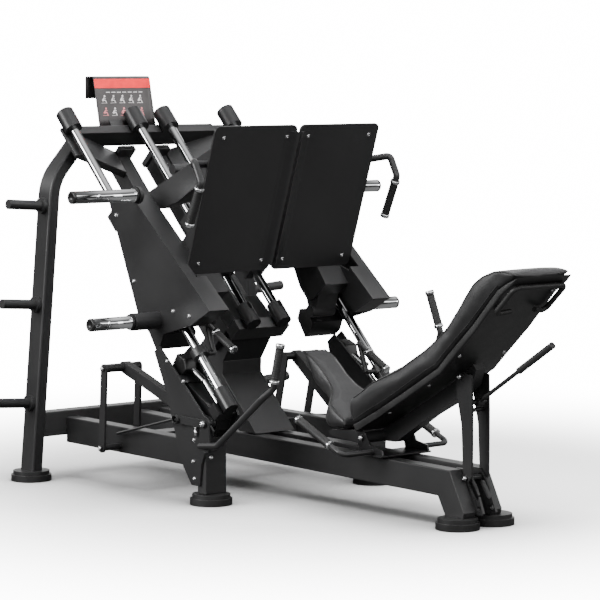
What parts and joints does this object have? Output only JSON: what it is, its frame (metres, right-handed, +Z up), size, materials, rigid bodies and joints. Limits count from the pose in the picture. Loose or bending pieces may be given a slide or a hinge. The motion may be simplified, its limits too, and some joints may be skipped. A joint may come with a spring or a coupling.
{
  "type": "leg press machine",
  "caption": "Plate-loaded 45 degree leg press with independent left and right sleds, reclined bench, rod stops, release levers and storage posts for plates.",
  "frame": {"origin": "middle of the overall length and width, on the floor", "axes": "+Z up, +X towards the head of the bench, Y across the machine with the machine's left side (seen from the seat's head) at -Y"},
  "size_m": [2.487, 1.58, 1.63],
  "materials": {
    "frame_black": "black satin powder coat",
    "sled_black": "black satin powder coat",
    "linkage_black": "black satin powder coat",
    "bench_black": "black satin powder coat",
    "bearing_black": "polymer bearing sleeve",
    "chrome": "polished chrome plate",
    "grip_rubber": "dense matt rubber sleeve",
    "foot_rubber": "matt rubber",
    "pad_leather": "black synthetic leather with fine grain",
    "board_plastic": "textured black board",
    "placard_print": "dark printed sheet with a red top band"
  },
  "bodies": {
    "frame": {"head_rails": "frame_black", "side_rails": "frame_black", "cross_beams": "frame_black", "mid_legs": "frame_black", "pedestal": "frame_black", "centre_tubes": "frame_black", "crossbeam": "frame_black", "uprights": "frame_black", "storage_posts": "frame_black", "guide_rods": "chrome", "rod_cups": "frame_black", "side_plates": "frame_black", "side_webs": "frame_black", "bumpers": "foot_rubber", "feet": "foot_rubber", "placard": "placard_print", "placard_stay": "frame_black", "side_hardware": "chrome", "dampers": "chrome", "bench_bracket": "frame_black", "head_plates": "frame_black", "hand_rails": "frame_black", "hand_grips": "grip_rubber"},
    "sled_left": {"footplate_left": "sled_black", "sled_bolts_left": "chrome", "sled_frame_left": "sled_black", "outer_bearings_left": "bearing_black", "horns_left": "chrome", "side_handle_left": "sled_black", "side_grip_left": "grip_rubber"},
    "lever_left": {"release_lever_left": "linkage_black", "lever_grip_left": "grip_rubber"},
    "stirrup_left": {"stirrup_left": "linkage_black"},
    "arm_left": {"link_arm_left": "linkage_black"},
    "rod_left": {"push_rod_left": "linkage_black"},
    "stop_left": {"stop_block_left": "linkage_black", "stop_grip_left": "grip_rubber"},
    "sled_right": {"footplate_right": "sled_black", "sled_bolts_right": "chrome", "sled_frame_right": "sled_black", "outer_bearings_right": "bearing_black", "horns_right": "chrome", "side_handle_right": "sled_black", "side_grip_right": "grip_rubber"},
    "lever_right": {"release_lever_right": "linkage_black", "lever_grip_right": "grip_rubber"},
    "stirrup_right": {"stirrup_right": "linkage_black"},
    "arm_right": {"link_arm_right": "linkage_black"},
    "rod_right": {"push_rod_right": "linkage_black"},
    "stop_right": {"stop_block_right": "linkage_black", "stop_grip_right": "grip_rubber"},
    "bench": {"bench_spine": "bench_black", "back_pad": "pad_leather", "back_board": "board_plastic", "board_bolts": "chrome", "seat_pad": "pad_leather", "head_handle": "bench_black"},
    "strut": {"strut": "bench_black"},
    "adjuster": {"adjust_lever": "bench_black"}
  },
  "joints": [
    {"name": "sled_slide_left", "type": "slide", "parent": "frame", "child": "sled_left", "axis": [-0.6947, 0, 0.7193], "range_m": [0, 0.42]},
    {"name": "lever_hinge_left", "type": "hinge", "parent": "frame", "child": "lever_left", "pos_m": [-0.12949, -0.48, 0.322], "axis": [0, -1, 0], "range_deg": [0, 24]},
    {"name": "stirrup_hinge_left", "type": "hinge", "parent": "frame", "child": "stirrup_left", "pos_m": [-0.72949, -0.411, 0.168], "axis": [0, -1, 0], "range_deg": [-9.88, 0]},
    {"name": "arm_hinge_left", "type": "hinge", "parent": "stirrup_left", "child": "arm_left", "pos_m": [-0.71249, -0.422, 0.486], "axis": [0, -1, 0], "range_deg": [-8.34, 0]},
    {"name": "rod_hinge_left", "type": "hinge", "parent": "stirrup_left", "child": "rod_left", "pos_m": [-0.72449, -0.35, 0.219], "axis": [0, -1, 0], "range_deg": [0, 1.97]},
    {"name": "stop_slide_left", "type": "slide", "parent": "frame", "child": "stop_left", "axis": [0.6947, 0, -0.7193], "range_m": [0, 0.16]},
    {"name": "sled_slide_right", "type": "slide", "parent": "frame", "child": "sled_right", "axis": [-0.6947, 0, 0.7193], "range_m": [0, 0.42]},
    {"name": "lever_hinge_right", "type": "hinge", "parent": "frame", "child": "lever_right", "pos_m": [-0.12949, 0.48, 0.322], "axis": [0, -1, 0], "range_deg": [-24, 0]},
    {"name": "stirrup_hinge_right", "type": "hinge", "parent": "frame", "child": "stirrup_right", "pos_m": [-0.72949, 0.411, 0.168], "axis": [0, -1, 0], "range_deg": [0, 9.88]},
    {"name": "arm_hinge_right", "type": "hinge", "parent": "stirrup_right", "child": "arm_right", "pos_m": [-0.6582, 0.422, 0.47837], "axis": [0, -1, 0], "range_deg": [0, 8.34]},
    {"name": "rod_hinge_right", "type": "hinge", "parent": "stirrup_right", "child": "rod_right", "pos_m": [-0.71582, 0.35, 0.21739], "axis": [0, -1, 0], "range_deg": [-1.97, 0]},
    {"name": "stop_slide_right", "type": "slide", "parent": "frame", "child": "stop_right", "axis": [0.6947, 0, -0.7193], "range_m": [-0.16, 0]},
    {"name": "bench_hinge", "type": "hinge", "parent": "frame", "child": "bench", "pos_m": [0.35751, 0, 0.287], "axis": [0, -1, 0], "range_deg": [-8, 0]},
    {"name": "strut_hinge", "type": "hinge", "parent": "bench", "child": "strut", "pos_m": [0.81251, 0, 0.553], "axis": [0, -1, 0], "range_deg": [0, 10.1]},
    {"name": "adjuster_hinge", "type": "hinge", "parent": "strut", "child": "adjuster", "pos_m": [0.86451, 0, 0.462], "axis": [0, -1, 0], "range_deg": [0, 12]}
  ],
  "couplings": [
    {"joint": "stirrup_hinge_left", "follows": "lever_hinge_left", "ratio": -0.4115},
    {"joint": "arm_hinge_left", "follows": "lever_hinge_left", "ratio": -0.34716},
    {"joint": "rod_hinge_left", "follows": "lever_hinge_left", "ratio": 0.08193},
    {"joint": "stirrup_hinge_right", "follows": "lever_hinge_right", "ratio": -0.4115},
    {"joint": "arm_hinge_right", "follows": "lever_hinge_right", "ratio": -0.34716},
    {"joint": "rod_hinge_right", "follows": "lever_hinge_right", "ratio": 0.08193},
    {"joint": "strut_hinge", "follows": "bench_hinge", "ratio": -1.26}
  ]
}
